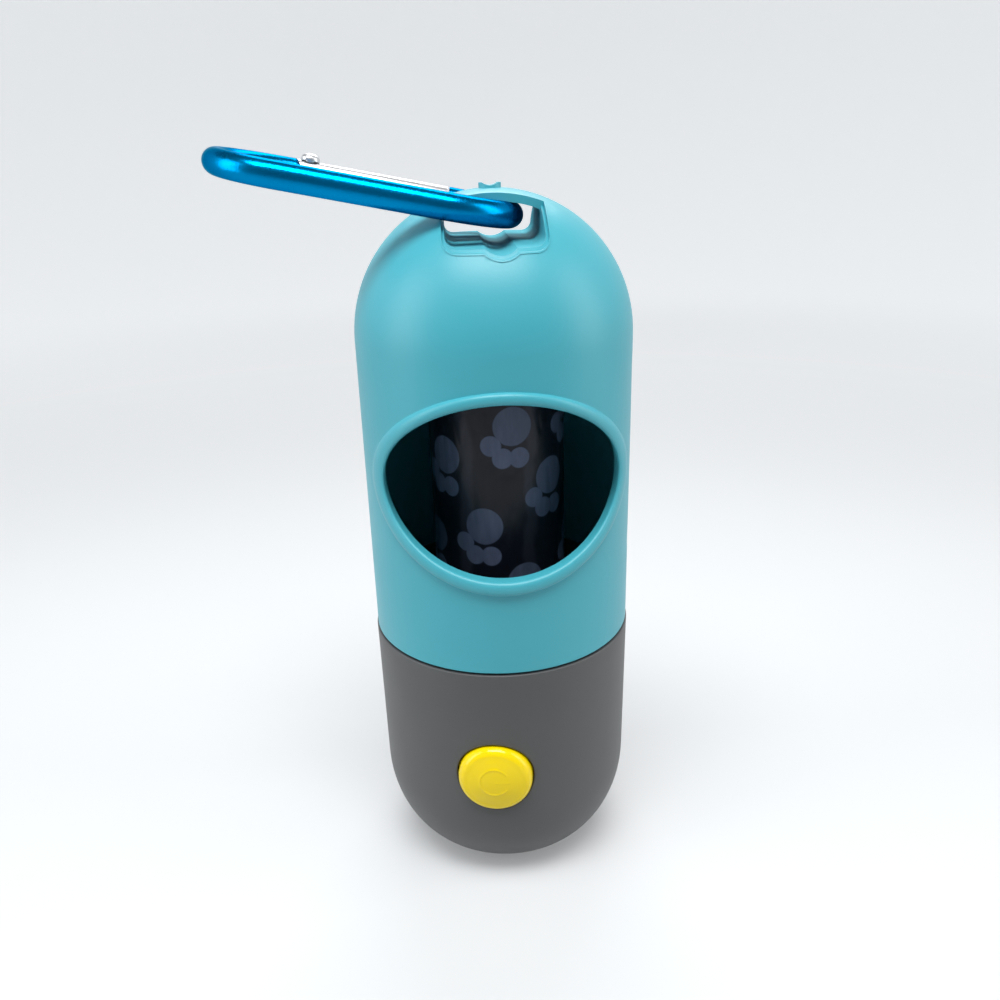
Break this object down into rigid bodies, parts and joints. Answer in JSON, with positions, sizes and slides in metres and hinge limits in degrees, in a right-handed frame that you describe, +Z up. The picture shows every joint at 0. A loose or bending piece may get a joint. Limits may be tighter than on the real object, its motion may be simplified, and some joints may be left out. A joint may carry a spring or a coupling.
{
  "type": "dog poop bag dispenser",
  "caption": "Capsule-shaped bag dispenser with a window for pulling bags, a small torch with a push button in its base, and a carabiner that clips it to a lead.",
  "frame": {"origin": "centre of the flat base that the dispenser stands on", "axes": "+Z up along the capsule's axis, the window faces -Y, the carabiner leans towards -X"},
  "size_m": [0.0655, 0.0472, 0.1249],
  "materials": {
    "teal_abs": "satin moulded plastic",
    "grey_abs": "fine matt moulded plastic",
    "yellow_button": "gloss moulded plastic",
    "clear_lens": "clear moulded acrylic",
    "bright_reflector": "vacuum-metallised plastic",
    "led_epoxy": "cast epoxy",
    "circuit_board": "solder mask",
    "white_frame": "plain moulded plastic",
    "black_switch": "plain moulded plastic",
    "cell_can": "bright drawn steel",
    "gilt_contact": "gilt spring brass",
    "screw_steel": "zinc plated",
    "black_rubber": "matt",
    "red_insulation": "soft wire insulation",
    "black_insulation": "soft wire insulation",
    "core_card": "plain greyboard",
    "black_film": "thin glossy film with printed paw marks",
    "blue_anodised": "anodised, polished",
    "bare_metal": "bare polished"
  },
  "bodies": {
    "torch": {"torch_housing": "grey_abs", "lens": "clear_lens", "reflector": "bright_reflector", "led": "led_epoxy", "led_board": "circuit_board", "cell_frame": "white_frame", "switch_board": "circuit_board", "switch_body": "black_switch", "button_cell_1": "cell_can", "button_cell_2": "cell_can", "button_cell_3": "cell_can", "cell_spring": "gilt_contact", "contact_plate": "gilt_contact", "red_wire": "red_insulation", "black_wire": "black_insulation", "battery_cover": "grey_abs", "cover_screws": "screw_steel"},
    "button": {"button_cap": "yellow_button"},
    "plunger": {"switch_plunger": "black_switch"},
    "seal": {"neck_seal": "black_rubber"},
    "shell": {"upper_shell": "teal_abs"},
    "roll": {"roll_core": "core_card", "bag_film": "black_film"},
    "carabiner": {"carabiner_body": "blue_anodised", "gate_rivet": "bare_metal"},
    "gate": {"carabiner_gate": "bare_metal", "gate_plunger": "screw_steel", "gate_spring": "screw_steel"}
  },
  "joints": [
    {"name": "shell_twist", "type": "hinge", "parent": "torch", "child": "seal", "pos_m": [0, 0, 0.048], "axis": [0, 0, 1], "continuous": true},
    {"name": "shell_lift", "type": "slide", "parent": "seal", "child": "shell", "axis": [0, 0, 1], "range_m": [0, 0.075]},
    {"name": "roll_spin", "type": "hinge", "parent": "torch", "child": "roll", "pos_m": [0, 0, 0.0463], "axis": [0, 0, 1], "continuous": true},
    {"name": "button_press", "type": "slide", "parent": "torch", "child": "button", "axis": [0.1305, 0.9914, 0], "range_m": [0, 0.001], "stiffness_N_per_m": 400, "springref_m": -0.001},
    {"name": "switch_press", "type": "slide", "parent": "torch", "child": "plunger", "axis": [0.1305, 0.9914, 0], "range_m": [0, 0.001]},
    {"name": "carabiner_swing", "type": "hinge", "parent": "shell", "child": "carabiner", "pos_m": [0.0007, 0, 0.11439], "axis": [0, 1, 0], "range_deg": [0, 145]},
    {"name": "gate_open", "type": "hinge", "parent": "carabiner", "child": "gate", "pos_m": [-0.02883, 0.0107, 0.12046], "axis": [-0.2012, 0, -0.9796], "range_deg": [0, 30], "stiffness_Nm_per_rad": 0.01, "springref_deg": -11.46}
  ],
  "couplings": [
    {"joint": "switch_press", "follows": "button_press", "ratio": 1}
  ]
}
